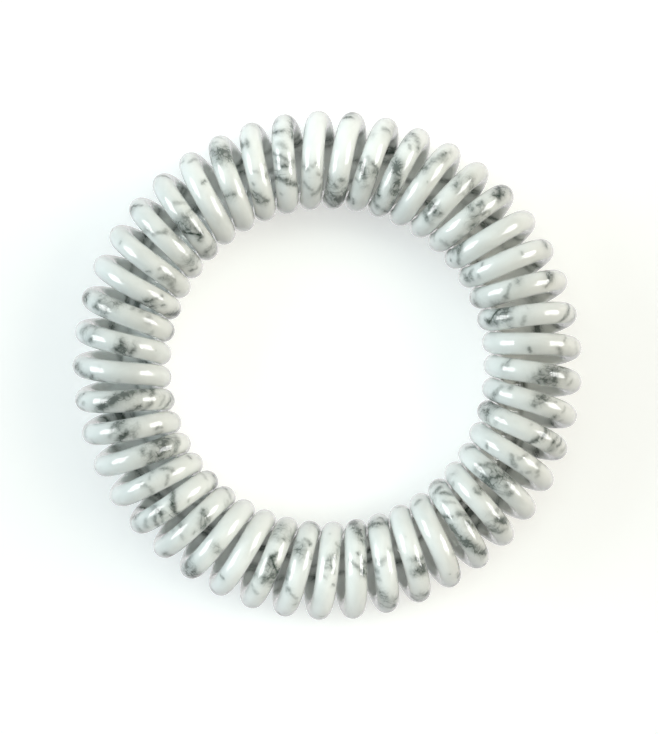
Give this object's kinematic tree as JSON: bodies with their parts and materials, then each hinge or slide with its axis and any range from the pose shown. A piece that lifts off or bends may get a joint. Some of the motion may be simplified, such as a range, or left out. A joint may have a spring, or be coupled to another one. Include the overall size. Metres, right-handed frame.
{
  "type": "spiral hair tie",
  "caption": "Spiral hair tie: one glossy round plastic wire wound as an endless coil and closed into a ring, which stretches around a ponytail or bun.",
  "frame": {"origin": "centre of the ring in the plane of its underside, where it lies on a table", "axes": "+Z along the ring's axis, up from the table; +X and +Y in the plane of the ring, where +Y is the picture's up and +X its right"},
  "size_m": [0.0549, 0.055, 0.0106],
  "materials": {
    "marbled_plastic": "glossy milky grey-white with thin grey marble veins"
  },
  "bodies": {
    "root": {"spiral_coil": "marbled_plastic"}
  },
  "joints": []
}
